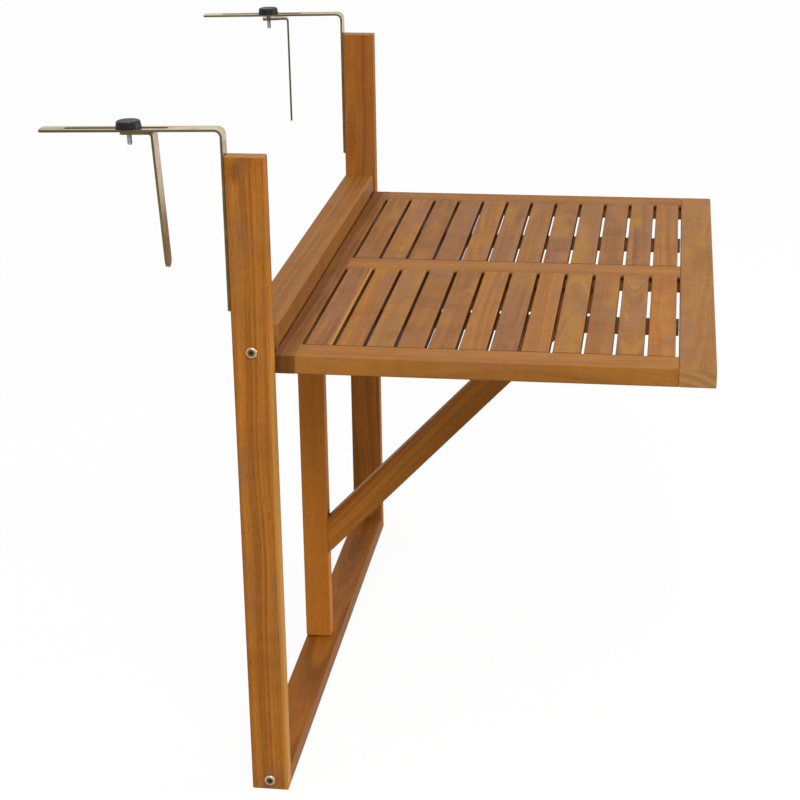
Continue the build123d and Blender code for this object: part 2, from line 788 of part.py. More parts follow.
def make_nodes():
    """Every node of the part by name: one solid, or a group of like solids."""
    nodes = {
        "upper_rail": make_upper_rail(),
        "bottom_rail": make_bottom_rail(),
        "frame_bolts": make_frame_bolts(),
        "barrel_nuts": make_barrel_nuts(),
        "frame_dowels": make_frame_dowels(),
        "hook_screws": make_hook_screws(),
        "frame_hinge_leaves": make_frame_hinge_leaves(),
        "frame_hinge_screws": hinge_screws(frame_hinge_seats(), (0, 0, 1)),
        "hinge_pins": make_hinge_pins(),
        "table_hinge_leaves": make_table_hinge_leaves(),
        "table_hinge_screws": hinge_screws(table_hinge_seats(), (0, -1, 0)),
        "table_dowels": table_dowels(table_dowel_radius),
        "slat_screws": make_slat_screws(),
        "gate_post": make_gate_post(),
        "gate_bar": make_gate_bar(),
        "gate_brace": make_gate_brace(),
        "gate_pins": make_gate_pins(),
        "gate_screws": make_gate_screws(),
    }
    nodes.update(make_table_rails())
    for word, side in (("left", -1), ("right", 1)):
        nodes[f"{word}_post"] = make_post(side)
        nodes[f"{word}_hook"] = make_hook(side)
        nodes[f"{word}_clamp_bracket"] = make_clamp_bracket(side)
        nodes[f"{word}_clamp_stud"] = make_clamp_stud(side)
        nodes[f"{word}_knob"] = make_knob(side)
        nodes[f"{word}_batten"] = make_batten(side)
        for index in range(slat_count):
            nodes[f"{word}_slat_{index + 1:02d}"] = make_slat(side, index)
    return nodes


os.makedirs("parts", exist_ok=True)
for node_name, shape in make_nodes().items():
    solids = shape if isinstance(shape, list) else [shape]
    pieces = [piece for solid in solids for piece in solid.solids()]
    export_step(pieces[0] if len(pieces) == 1 else Compound(pieces), f"parts/{node_name}.step")
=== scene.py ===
"""Dresses the folding balcony table: oiled timber, plated strap, black knobs, threaded studs and a studio."""

import json
import math
import random
from typing import NamedTuple

import bmesh
import bpy
from bpy.props import FloatProperty, FloatVectorProperty, IntProperty, PointerProperty
from mathutils import Matrix, Vector


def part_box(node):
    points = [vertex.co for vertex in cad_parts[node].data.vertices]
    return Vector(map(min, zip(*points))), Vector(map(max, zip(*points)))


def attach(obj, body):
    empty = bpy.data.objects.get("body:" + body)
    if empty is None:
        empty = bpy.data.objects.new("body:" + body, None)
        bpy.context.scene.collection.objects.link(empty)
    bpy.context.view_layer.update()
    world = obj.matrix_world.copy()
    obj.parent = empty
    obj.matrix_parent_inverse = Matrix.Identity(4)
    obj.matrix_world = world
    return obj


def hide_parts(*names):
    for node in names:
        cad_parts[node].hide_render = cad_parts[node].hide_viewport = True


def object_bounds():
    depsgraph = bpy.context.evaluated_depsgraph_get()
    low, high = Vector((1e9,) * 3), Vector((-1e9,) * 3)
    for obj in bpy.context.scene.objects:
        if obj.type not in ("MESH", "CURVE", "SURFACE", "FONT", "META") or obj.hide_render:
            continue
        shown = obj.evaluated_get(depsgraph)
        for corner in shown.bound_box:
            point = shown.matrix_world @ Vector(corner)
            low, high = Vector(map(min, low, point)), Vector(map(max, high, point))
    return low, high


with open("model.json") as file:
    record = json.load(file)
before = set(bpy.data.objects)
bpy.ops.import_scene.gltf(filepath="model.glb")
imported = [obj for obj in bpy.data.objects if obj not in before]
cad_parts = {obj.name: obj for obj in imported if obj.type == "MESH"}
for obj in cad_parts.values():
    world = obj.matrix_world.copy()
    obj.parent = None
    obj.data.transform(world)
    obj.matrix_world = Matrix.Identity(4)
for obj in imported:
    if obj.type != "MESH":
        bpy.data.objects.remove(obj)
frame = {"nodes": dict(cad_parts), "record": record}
cad_low, cad_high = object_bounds()

bl_info = {
    "name": "Folding balcony table",
    "version": (1, 0, 0),
    "blender": (4, 5, 0),
    "location": "View3D > Sidebar > Balcony table",
    "description": "Gives the folding balcony table its timber, metal and plastic finishes and a studio",
    "category": "Object",
}

SIDES = ("left", "right")
UP = Vector((0, 0, 1))

# Which tone each slat was sawn from, counted from the back rail to the front rail
SLAT_TONES = {
    "left": ("rose", "honey", "straw", "umber", "umber", "honey",
             "rose", "honey", "straw", "umber", "straw", "amber"),
    "right": ("umber", "honey", "umber", "rose", "honey", "rose",
              "umber", "rose", "straw", "umber", "rose", "honey"),
}
# Figure of a plain slat, and of the slats with strong streaks, a flame, a strip of sapwood or a knot
PLAIN_SLAT = {"figure": 0.65, "mottle": 0.95}
SLAT_FIGURES = {
    "left_slat_01": {"figure": 1.6, "sapwood": (-1, 0.003, 1.0)},
    "left_slat_05": {"knot": (0.044, -0.007)},
    "left_slat_09": {"flame": 0.05, "figure": 0.9},
    "left_slat_11": {"flame": -0.045, "figure": 1.0},
    "right_slat_08": {"flame": 0.05},
    "right_slat_11": {"figure": 1.3},
}

# Shares of red, green and blue that turn one tone of the timber into another
PALE_BAND = (1.24, 1.24, 1.2)
DARK_BAND = (0.72, 0.66, 0.56)
DARK_LINE = (0.66, 0.6, 0.5)
DARK_RAY = (0.72, 0.68, 0.6)
# Painted shade on the faces that look along Y, such as the sides of slats in their gaps
FLANK_SHADE = (1.15, 0.8, 0.25)
RUBBED_EDGE = (0.8, 0.76, 0.7)
GOLDEN_RAIL = (1, 1, 0.8)
SHADED_RAIL = (0.8, 0.78, 0.6)
# A darker copy of a rail's tone: painted shade for the back rail, which sits between the upper rail and the
# slats
SHADED_BACK_RAIL = (0.74, 0.66, 0.42)

# How strongly each part of the figure and each mark covers what lies under it
COVER = {"line": 0.45, "fibre": 1.3, "ripple": 0.22, "shade": 0.7, "sapwood": 0.85, "knot": 0.75,
         "stain": 0.45, "end": 0.8, "shoulder": 0.7, "grime": 0.4, "rub": 0.3, "joint": 0.6}
# How much a length along the grain counts beside one across it, round a knot and round a stain
KNOT_STRETCH = 0.6
STAIN_STRETCH = 0.45
# Distances in metres from its core over which each mark fades out
FADE = {"knot": (0.0006, 0.0026), "bulge": (0.001, 0.012), "stain": (0.001, 0.0065),
        "shoulder": (0.0003, 0.0011), "joint": (0.0002, 0.0009)}
# How far each board's figure is moved at most, and how far its sway lies from its wander, in waves
FIGURE_SHIFT = 5
SWAY_SHIFT = (7.1, 3.3, 1.7)
# Nearest and farthest place of the pith beside a board, and how far its rings lean and wander at most
PITH_DISTANCE = (0.02, 0.06)
RING_LEAN = 0.02
RING_WANDER = 0.02
# Where the growth noise turns from a pale band to a dark one, and where it holds a dark line
BAND_SPAN = (0.3, 0.7)
LINE_SPAN = (0.62, 0.8)
# How squarely a face has to look along the grain to be a sawn end, and along Y to be a flank that takes
# painted shade
SAWN_FACING = (0.75, 0.95)
FLANK_SHADE_FACING = (0.6, 0.95)

# Waves per metre in the plating: along and across a rolled strap, and on a turned piece
ROLLED_LENGTH = 8
ROLLED_WIDTH = 60
TURNED = 40
# How many times finer the rolling lines are than the patches
ROLLING_FINENESS = 14

# Waves per metre of clouds and specks on strap, of tarnish and specks on bolts, of wear and texture on knobs
CLOUD_WAVES = 34
SPECK_WAVES = 900
TARNISH_WAVES = 420
BOLT_SPECK_WAVES = 1500
WEAR_WAVES = 150
TEXTURE_WAVES = 2600
# Depth of the texture on plated strap, bolt heads and knobs
STRAP_TEXTURE = 0.00002
BOLT_TEXTURE = 0.00003
KNOB_TEXTURE = 0.00005
# Zones of a bolt's head, as shares of its radius: where each still shows in full, and where it ends. The ring
# holds a painted dark reflection, the socket and its core painted shade
DULL_RING_DARK_REFLECTION = (0.55, 0.85)
SOCKET_SHADE = (0.36, 0.46)
SOCKET_CORE_SHADE = (0.14, 0.32)

# Fineness of the threaded studs' mesh, and how many turns of thread taper off at each end
STEPS_ROUND = 36
STEPS_PER_PITCH = 8
TAPERED_TURNS = 1.5

# Reach of the floor to each side and of the camera's view in metres, and width of its film in millimetres
FLOOR_REACH = 40.0
VIEW_REACH = 200.0
FILM_WIDTH = 36.0
WHITE = (1, 1, 1, 1)


class Layer(NamedTuple):
    """Noise drawn out along a board's grain: its waves per metre along and across it, and its own values.

    span is where the noise starts to show and where it shows in full.
    """
    along: float
    across: float
    detail: float
    roughness: float = 0.5
    span: tuple = (0, 1)


LAYERS = {
    "drift": Layer(2.6, 10, 2),
    "fibres": Layer(6, 260, 4, 0.62),
    "pores": Layer(95, 1300, 1, span=(0.6, 0.74)),
    "cloud": Layer(13, 42, 3, span=(0.48, 0.7)),
    "veil": Layer(9, 34, 2, span=(0.5, 0.72)),
    "ripple": Layer(75, 22, 2, span=(0.5, 0.75)),
    "shade": Layer(26, 18, 3, 0.55, (0.47, 0.74)),
}


def colour_of(red, green, blue):
    """Linear colour of an eight-bit screen colour."""
    def linear(value):
        part = value / 255
        return part / 12.92 if part <= 0.04045 else ((part + 0.055) / 1.055) ** 2.4
    return linear(red), linear(green), linear(blue)


def tone_property(name, description, *screen):
    """A colour property whose default is given as an eight-bit screen colour."""
    return FloatVectorProperty(name=name, description=description, subtype="COLOR", size=3, min=0, max=1,
                               default=colour_of(*screen))


def length_property(name, description, default, least, most):
    """A length in metres."""
    return FloatProperty(name=name, description=description, default=default, min=least, max=most,
                         subtype="DISTANCE", unit="LENGTH")


def share_property(name, description, default, least=0):
    """A share of 1."""
    return FloatProperty(name=name, description=description, default=default, min=least, max=1,
                         subtype="FACTOR")


def angle_property(name, description, degrees):
    """An angle whose default is given in degrees."""
    return FloatProperty(name=name, description=description, default=math.radians(degrees),
                         subtype="ANGLE", unit="ROTATION")


def place_property(name, description, place):
    """A place in metres."""
    return FloatVectorProperty(name=name, description=description, default=place, size=3,
                               subtype="TRANSLATION", unit="LENGTH")


def power_property(name, description, default):
    """The power of a lamp."""
    return FloatProperty(name=name, description=description, default=default, min=0, max=500, unit="POWER")


class TimberSettings(bpy.types.PropertyGroup):
    """Tones and figure of the oiled timber."""
    honey: tone_property("Honey", "Golden brown boards", 160, 104, 42)
    amber: tone_property("Amber", "Warmer, more orange boards", 169, 105, 36)
    rose: tone_property("Rose", "Boards with a dusty pink cast", 146, 96, 52)
    umber: tone_property("Umber", "The darkest boards", 148, 96, 42)
    straw: tone_property("Straw", "The palest boards", 156, 106, 49)
    deep: tone_property("Deep", "The gate's upright, which stands in the shade", 190, 117, 38)
    dusk: tone_property("Dusk", "The browner post and rail", 157, 95, 33)
    mauve: tone_property("Mauve", "Greyish pink patches in the timber", 146, 98, 62)
    ochre: tone_property("Ochre", "Greenish gold patches in the timber", 164, 113, 38)
    sapwood: tone_property("Sapwood", "Pale strips along the edge of some boards", 198, 138, 58)
    pore: tone_property("Pore", "Colour in the open pores and dark growth lines", 78, 44, 16)
    end: tone_property("End grain", "Cast of the sawn ends", 184, 138, 86)
    shaded_end: tone_property("Shaded end", "Sawn ends that stand in the corner beside a post", 112, 70, 26)
    ring_width: length_property("Ring width", "Typical distance between growth bands", 0.0075, 0.001, 0.05)
    flame_share: share_property("Flame rings", "Ring width of flamed boards, as a share", 0.42, 0.1)
    brace_angle: angle_property("Brace angle", "Angle of the gate's brace from the floor", 46.2)
    brace_width: length_property("Brace width", "Width of the gate's brace across its grain",
                                 0.029, 0.01, 0.1)
    grain_depth: length_property("Grain depth", "Depth of the grain that can be felt", 0.00012, 0, 0.002)
    roughness: share_property("Roughness", "Gloss of the oil finish", 0.58)
    specular: share_property("Reflection", "Strength of the oil finish's reflections", 0.16)
    edge_width: length_property("Edge wear", "Width of the rubbed edges", 0.0028, 0, 0.02)


class MetalSettings(bpy.types.PropertyGroup):
    """Colours of the plated strap, bolts and screws."""
    gold: tone_property("Gold", "Main colour of the yellow plating", 204, 186, 152)
    olive: tone_property("Olive", "Greenish patches of the plating", 158, 147, 114)
    blush: tone_property("Blush", "Pink patches of the plating", 186, 139, 114)
    cut: tone_property("Cut edge", "Sawn edges of the strap, darker than its faces", 92, 81, 48)
    zinc: tone_property("Zinc", "Bright plating of studs and screws", 168, 175, 182)
    roughness: share_property("Roughness", "Gloss of the plating", 0.3)
    thread_pitch: length_property("Thread pitch", "Rise of the stud's thread in one turn",
                                  0.001, 0.0005, 0.003)
    thread_depth: length_property("Thread depth", "Depth of the stud's thread", 0.00055, 0, 0.001)


class KnobSettings(bpy.types.PropertyGroup):
    """Finish of the moulded knobs."""
    colour: tone_property("Colour", "Colour of the moulded knobs", 9, 9, 14)
    roughness: share_property("Roughness", "Gloss of the knobs", 0.42)
    specular: share_property("Reflection", "Strength of the knobs' reflections", 0.24)


class StudioSettings(bpy.types.PropertyGroup):
    """Camera, lamps and floor."""
    place: place_property("Camera", "Where the camera stands", (-1.909803, -0.388708, 0.361748))
    turn: angle_property("Turn", "Heading of the camera from +X towards +Y", 8.355)
    dip: angle_property("Dip", "How far the camera looks down", 20.558)
    roll: angle_property("Roll", "Lean of the camera", 0.85)
    reach: FloatProperty(name="Focal length", description="Focal length on a 36 mm frame",
                         default=85.965, min=10, max=300)
    floor: tone_property("Floor", "Colour of the floor as it is seen", 255, 255, 255)
    bounce: tone_property("Bounce", "Colour of the floor for the light that it throws back", 150, 148, 144)
    floor_roughness: share_property("Floor roughness", "Gloss of the floor", 0.9)
    shadow: share_property("Floor shadow", "How strongly the floor shows shadows", 0.06)
    sky: FloatProperty(name="Sky", description="Strength of the even light from all sides",
                       default=0.66, min=0, max=3)
    key: power_property("Key lamp", "Power of the large lamp above the camera", 60)
    key_place: place_property("Key lamp's place", "Where the large lamp hangs", (-2.6, -0.9, 2.0))
    key_size: length_property("Key lamp's size", "Diameter of the large lamp", 1.8, 0.1, 5)
    front: power_property("Front lamp", "Power of the lamp in front of the table", 45)
    front_place: place_property("Front lamp's place", "Where the front lamp hangs", (0.2, -3.2, 0.6))
    front_size: length_property("Front lamp's size", "Diameter of the front lamp", 1.5, 0.1, 5)
    seed: IntProperty(name="Seed", description="Picks the figure of every board", default=7, min=0)


class TableSettings(bpy.types.PropertyGroup):
    """All settings of the balcony table."""
    timber: PointerProperty(type=TimberSettings)
    metal: PointerProperty(type=MetalSettings)
    knob: PointerProperty(type=KnobSettings)
    studio: PointerProperty(type=StudioSettings)


def settings_of(context):
    """The settings of the balcony table."""
    return context.scene.balcony_table


class Socket:
    """A socket of a shader that takes part in Python expressions."""

    def __init__(self, tree, socket=None):
        self.tree = tree
        self.socket = socket

    def node(self, kind, settings=None, inputs=None, output=0):
        """Adds a node of any kind: settings first, then values or links of its sockets. Gives one output."""
        made = self.tree.nodes.new(kind)
        for key, value in (settings or {}).items():
            setattr(made, key, value)
        for key, value in (inputs or {}).items():
            if isinstance(value, Socket):
                self.tree.links.new(value.socket, made.inputs[key])
            else:
                made.inputs[key].default_value = value
        return Socket(self.tree, made.outputs[output])

    def maths(self, operation, *values, clamp=False):
        """A Math node on this socket and further values."""
        inputs = dict(enumerate((self, *values)))
        return self.node("ShaderNodeMath", {"operation": operation, "use_clamp": clamp}, inputs)

    def reversed_maths(self, operation, first):
        """A Math node whose first value is a number and whose second is this socket."""
        return self.node("ShaderNodeMath", {"operation": operation}, {0: first, 1: self})

    def __add__(self, other):
        return self.maths("ADD", other)

    def __radd__(self, other):
        return self.reversed_maths("ADD", other)

    def __sub__(self, other):
        return self.maths("SUBTRACT", other)

    def __rsub__(self, other):
        return self.reversed_maths("SUBTRACT", other)

    def __mul__(self, other):
        return self.maths("MULTIPLY", other)

    def __rmul__(self, other):
        return self.reversed_maths("MULTIPLY", other)

    def __truediv__(self, other):
        return self.maths("DIVIDE", other)

    def __rtruediv__(self, other):
        return self.reversed_maths("DIVIDE", other)

    def __abs__(self):
        return self.maths("ABSOLUTE")

    def clamped(self):
        """This value held between 0 and 1."""
        return self.maths("ADD", 0.0, clamp=True)

    def hypotenuse(self, other):
        """Length of the diagonal over this value and another."""
        return (self * self + other * other).maths("SQRT")

    def between(self, low, high):
        """How far this value has gone from low to high, smoothly from 0 to 1."""
        settings = {"interpolation_type": "SMOOTHSTEP"}
        return self.node("ShaderNodeMapRange", settings, {0: self, 1: low, 2: high})

    def mix(self, first, second):
        """A colour between the first and the second, by this factor."""
        def colour(value):
            return value if isinstance(value, Socket) else (*value, 1)
        inputs = {0: self, 6: colour(first), 7: colour(second)}
        return self.node("ShaderNodeMix", {"data_type": "RGBA"}, inputs, 2)

    def vector(self, x, y, z):
        """A vector of three values."""
        return self.node("ShaderNodeCombineXYZ", None, {0: x, 1: y, 2: z})

    def part(self, axis):
        """The X, Y or Z of this vector."""
        return self.node("ShaderNodeSeparateXYZ", None, {0: self}, axis)

    def noise(self, scale, detail=2.0, roughness=0.5, distortion=0.0):
        """Noise at the places that this vector gives."""
        inputs = {"Vector": self, "Scale": scale, "Detail": detail, "Roughness": roughness,
                  "Distortion": distortion}
        return self.node("ShaderNodeTexNoise", None, inputs)


def new_material(name):
    """An empty node material with its shader, and a socket to build expressions from."""
    material = bpy.data.materials.new(name)
    material.use_nodes = True
    shader = material.node_tree.nodes["Principled BSDF"]
    return material, shader, Socket(material.node_tree)


def object_places(start):
    """Places on the model, as one vector and as its X, Y and Z."""
    place = start.node("ShaderNodeTexCoord", output="Object")
    return place, [place.part(axis) for axis in "XYZ"]


def facing(start, axis):
    """How squarely the surface looks along an axis, to either side."""
    return abs(start.node("ShaderNodeTexCoord", output="Normal").part(axis))


def feed(shader, **values):
    """Links sockets to the shader's inputs, or sets plain values on them."""
    for key, value in values.items():
        target = shader.inputs[key.replace("_", " ").title()]
        if isinstance(value, Socket):
            value.tree.links.new(value.socket, target)
        else:
            target.default_value = value


def bumped(height, distance):
    """A normal that follows a height."""
    return height.node("ShaderNodeBump", None, {"Strength": 1.0, "Distance": distance, "Height": height})


def tinted(tone, shares):
    """A colour whose red, green and blue are multiplied by three shares."""
    return [min(1, value * share) for value, share in zip(tone, shares)]


def scaled(tone, share):
    """A colour made paler or darker by one share."""
    return tinted(tone, (share, share, share))


class Board:
    """One board of the model: places on it, its growth rings and the noises that its figure is drawn from.

    grain is the axis that the fibres follow. flame leans the rings, so that they cut the face in arches. knot
    is a place along and across the board. slant is given for a board that leans in the YZ plane: its angle
    from the floor and its real width.
    """

    def __init__(self, node_name, grain, timber, seed, flame, knot, slant):
        self.grain = grain
        self.timber = timber
        self.material, self.shader, self.start = new_material(f"timber_{node_name}")
        self.set_axes(node_name, slant)
        chance = random.Random(f"{seed} {node_name}")
        self.shift = [chance.uniform(-FIGURE_SHIFT, FIGURE_SHIFT) for _ in range(3)]
        elsewhere = [offset + step for offset, step in zip(self.shift, SWAY_SHIFT)]
        self.wander = self.layer("drift", *self.shift) - 0.5
        self.sway = self.layer("drift", *elsewhere) - 0.5
        ring_width = timber.ring_width * (timber.flame_share if flame else 1)
        self.rings = self.ring_radius(chance, flame, knot) / ring_width
        growth = {"W": self.rings + self.shift[0], "Scale": 1.0, "Detail": 3.0, "Roughness": 0.62}
        self.bands = self.start.node("ShaderNodeTexNoise", {"noise_dimensions": "1D"}, growth)
        self.fibres = self.layer("fibres", self.shift[1], self.wander * 4, self.sway * 4)
        self.pores = self.layer("pores", self.shift[2], 0, 0).between(*LAYERS["pores"].span)
        self.cloud = self.layer("cloud", self.shift[2], self.shift[0], self.shift[1])
        self.sawn = facing(self.start, grain).between(*SAWN_FACING)
        self.rub = self.rubbed_edges()

    def set_axes(self, node_name, slant):
        """Measures from the board's middle: along its grain, across it and through it."""
        low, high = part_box(node_name)
        middle = (low + high) / 2
        half = (high - low) / 2
        order = {"X": (0, 1, 2), "Y": (1, 0, 2), "Z": (2, 1, 0)}[self.grain]
        spots = object_places(self.start)[1]
        self.along, self.across, self.through = [spots[index] - middle[index] for index in order]
        self.middle = middle[order[0]]
        self.half_across = half[order[1]]
        self.half_through = half[order[2]]
        if slant:
            angle, width = slant
            level, upright = self.along, self.through
            self.along = upright * math.sin(angle) - level * math.cos(angle)
            self.through = upright * math.cos(angle) + level * math.sin(angle)
            self.half_through = width / 2

    def layer(self, name, *offsets):
        """The noise of one layer, moved by three offsets."""
        layer = LAYERS[name]
        spots = (self.along * layer.along, self.across * layer.across, self.through * layer.across)
        place = self.start.vector(*(spot + offset for spot, offset in zip(spots, offsets)))
        return place.noise(1.0, layer.detail, layer.roughness)

    def distance_to(self, spot, stretch):
        """Distance from a place along and across the board, with a share of the length along the grain."""
        along, across = spot
        return ((self.along - along) * stretch).hypotenuse(self.across - across)

    def inside_edge(self, side, width, unevenness):
        """How far a place lies inside a strip of some width along one edge, with an uneven border."""
        return self.across * side - self.half_across + width + self.wander * unevenness

    def ring_radius(self, chance, flame, knot):
        """Distance from the pith, which runs unevenly beside the board."""
        pith = chance.uniform(*PITH_DISTANCE)
        angle = math.pi / 2 if flame else chance.uniform(0, math.tau)
        lean = flame or chance.uniform(-RING_LEAN, RING_LEAN)
        across = self.across + self.wander * RING_WANDER + pith * math.cos(angle)
        through = self.through + self.sway * RING_WANDER + self.along * lean + pith * math.sin(angle)
        if knot:
            bulge = 0.006
            near = 1 - self.distance_to(knot, KNOT_STRETCH).between(*FADE["bulge"])
            across = across + near * bulge
        return across.hypotenuse(through)

    def figure_colour(self, tone, figure, mottle, flecks):
        """The board's own tone in its growth bands, fibres, patches and pores."""
        pale = tinted(tone, PALE_BAND)
        dark = tinted(tone, DARK_BAND)
        swing = (self.bands.between(*BAND_SPAN) - 0.5) * figure + 0.5
        colour = swing.clamped().mix(pale, dark)
        lines = self.bands.between(*LINE_SPAN) * COVER["line"] * figure
        colour = lines.clamped().mix(colour, tinted(dark, DARK_LINE))
        dark_fibres = (self.fibres - 0.5).clamped() * COVER["fibre"] * figure
        colour = dark_fibres.clamped().mix(colour, dark)
        colour = (0.5 - self.fibres).clamped().mix(colour, pale)
        veil = self.layer("veil", self.shift[1], self.shift[2], self.shift[0])
        ripple = self.layer("ripple", self.wander * 6, 0, self.shift[1])
        shade = self.layer("shade", *self.shift)
        for name, noise, strength, patch in (("cloud", self.cloud, mottle, self.timber.mauve),
                                             ("veil", veil, mottle, self.timber.ochre),
                                             ("ripple", ripple, COVER["ripple"], pale),
                                             ("shade", shade, mottle * COVER["shade"], dark)):
            colour = (noise.between(*LAYERS[name].span) * strength).mix(colour, patch)
        return (self.pores * flecks).mix(colour, self.timber.pore)

    def sapwood_strip(self, side, width, stop):
        """Where a pale strip lies along one edge, up to the place along the board where it dies out."""
        unevenness = 0.006
        border = 0.0012
        fading = 0.12
        strip = self.inside_edge(side, width, unevenness).between(0.0, border)
        return strip * (1 - self.along.between(stop - fading, stop))

    def knot_core(self, spot):
        """Where the dark core of a small knot lies."""
        return 1 - self.distance_to(spot, KNOT_STRETCH).between(*FADE["knot"])

    def stain_cloud(self, spot):
        """Where a dark cloud lies, frayed along the fibres."""
        fraying = 0.006
        away = self.distance_to(spot, STAIN_STRETCH) + (self.fibres - 0.5) * fraying
        return 1 - away.between(*FADE["stain"])

    def end_colour(self, tone):
        """Rings and rays of a sawn end."""
        waves_across = 700
        waves_along = 40
        fineness = 5
        place = self.start.vector(self.across * waves_across, self.through * waves_across,
                                  self.along * waves_along)
        rays = place.noise(1.0, 3.0, 0.7)
        rings = (self.rings * fineness).maths("SINE") * 0.5 + 0.5
        return (rings * 0.3 + rays * 0.7).between(0.25, 0.75).mix(tone, tinted(tone, DARK_RAY))

    def shoulder_lines(self, first, second):
        """Dark lines at the two places on X where a slat meets its rails."""
        x = self.along + self.middle
        nearest = abs(x - first).maths("MINIMUM", abs(x - second))
        return 1 - nearest.between(*FADE["shoulder"])

    def shaded_edge(self, side, width):
        """Where painted shade darkens one edge, as beside the gap to the next part."""
        unevenness = 0.008
        return self.inside_edge(side, width, unevenness).between(0.0, width)

    def glue_line(self, joint):
        """The wavy line where two lengths are glued end to end."""
        wave_count = 900
        wave_height = 0.0004
        wave = (self.across * wave_count).maths("SINE") * wave_height
        return 1 - abs(self.along - joint + wave).between(*FADE["joint"])

    def rubbed_edges(self):
        """Where the long edges are rubbed, more in some places than in others."""
        flat_edge = 0.001
        inset = (self.half_across - abs(self.across)) + (self.half_through - abs(self.through))
        edge = 1 - ((inset - flat_edge) / self.timber.edge_width).clamped()
        return edge * (self.fibres * 0.6 + self.cloud * 0.5).between(0.35, 0.75)


def timber_material(node_name, grain, tone, timber, seed, figure=1.0, mottle=0.6, flecks=0.22, flame=0.0,
                    sapwood=None, knot=None, stain=None, joint=None, shoulders=None, flanks=0.0, grime=None,
                    slant=None, end=None):
    """Oiled timber for one board: growth bands round a pith beside it, fibres, pores, patches and sawn ends.

    grain is the axis that the fibres follow and tone the board's own colour. figure is the contrast of the
    bands, mottle that of the patches and flecks that of the pores. flame leans the bands so that they cut the
    face in arches. sapwood gives a pale strip's side, width and the place along the board where it dies out.
    knot and stain are places along and across the board, with a small knot and with a dark cloud. joint is a
    place along it where two lengths are glued end to end. shoulders are the two places on X where a slat
    meets its rails and a dark line lies. flanks is how strongly painted shade darkens the faces that look
    along Y, such as the sides of slats in their gaps. grime gives the side and the width of an edge
    darkened by painted shade. slant is the angle and the width of a leaning board, whose ends keep the colour
    of its faces. end is the tone of the sawn ends.
    """
    board = Board(node_name, grain, timber, seed, flame, knot, slant)
    colour = board.figure_colour(tone, figure, mottle, flecks)
    if sapwood:
        colour = (board.sapwood_strip(*sapwood) * COVER["sapwood"]).mix(colour, timber.sapwood)
    if knot:
        colour = (board.knot_core(knot) * COVER["knot"]).mix(colour, timber.pore)
    if stain:
        colour = (board.stain_cloud(stain) * COVER["stain"]).mix(colour, timber.pore)
    if not slant:
        colour = (board.sawn * COVER["end"]).mix(colour, board.end_colour(end or timber.end))
    if shoulders:
        colour = (board.shoulder_lines(*shoulders) * COVER["shoulder"]).mix(colour, timber.pore)
    # Painted shade: the faces that look along Y are darkened, as the sides of slats down in their gaps
    if flanks:
        flank = facing(board.start, "Y").between(*FLANK_SHADE_FACING)
        colour = (flank * flanks).mix(colour, tinted(timber.pore, FLANK_SHADE))
    # Painted shade along one edge, beside the gap to the next part
    if grime:
        colour = (board.shaded_edge(*grime) * COVER["grime"]).mix(colour, timber.pore)
    colour = (board.rub * COVER["rub"]).mix(colour, tinted(tone, RUBBED_EDGE))
    if joint is not None:
        colour = (board.glue_line(joint) * COVER["joint"]).mix(colour, timber.pore)
    roughness = (timber.roughness + (board.fibres - 0.5) * 0.22 + board.pores * 0.14 + board.sawn * 0.15
                 - board.rub * 0.08)
    height = board.fibres * 0.5 - board.pores * 0.9 + board.bands * 0.35
    feed(board.shader, base_color=colour, roughness=roughness.clamped(),
         normal=bumped(height, timber.grain_depth))
    board.shader.inputs["Specular IOR Level"].default_value = timber.specular
    return board.material


def plated_material(name, metal, tones, rolled="", edge=None, scratch=1.0):
    """Plated steel: patches of colour, rolling lines, fine scratches, dull spots and cut edges.

    tones are the main colour, that of the patches and that of the blush over both. rolled is the axis that a
    strap was rolled along, edge the colour of its cut edges and scratch the depth of its rolling lines.
    """
    main, patch, blush = tones
    material, shader, start = new_material(name)
    place, spots = object_places(start)
    if rolled:
        waves = [ROLLED_LENGTH if axis == rolled else ROLLED_WIDTH for axis in "XYZ"]
    else:
        waves = [TURNED] * 3
    streaks = [spot * count for spot, count in zip(spots, waves)]
    patches = start.vector(*streaks).noise(1.0, 3.0, 0.55, 0.6)
    lines = start.vector(*(streak * ROLLING_FINENESS for streak in streaks)).noise(1.0, 2.0, 0.6)
    clouds = place.noise(CLOUD_WAVES, 3.0, 0.55)
    specks = place.noise(SPECK_WAVES, 1.0).between(0.66, 0.78)
    colour = patches.between(0.4, 0.62).mix(main, patch)
    colour = (clouds.between(0.48, 0.68) * 0.75).mix(colour, blush)
    colour = (specks * 0.3).mix(colour, scaled(patch, 0.4))
    if edge:
        cut = facing(start, "X").between(0.5, 0.8)
        colour = (cut * (0.75 + patches * 0.4)).clamped().mix(colour, edge)
    roughness = metal.roughness + (patches - 0.5) * 0.18 + (lines - 0.5) * 0.14 + specks * 0.2
    height = lines * 0.6 * scratch + specks * 0.4
    feed(shader, base_color=colour, metallic=1.0, roughness=roughness.clamped(),
         normal=bumped(height, STRAP_TEXTURE))
    return material


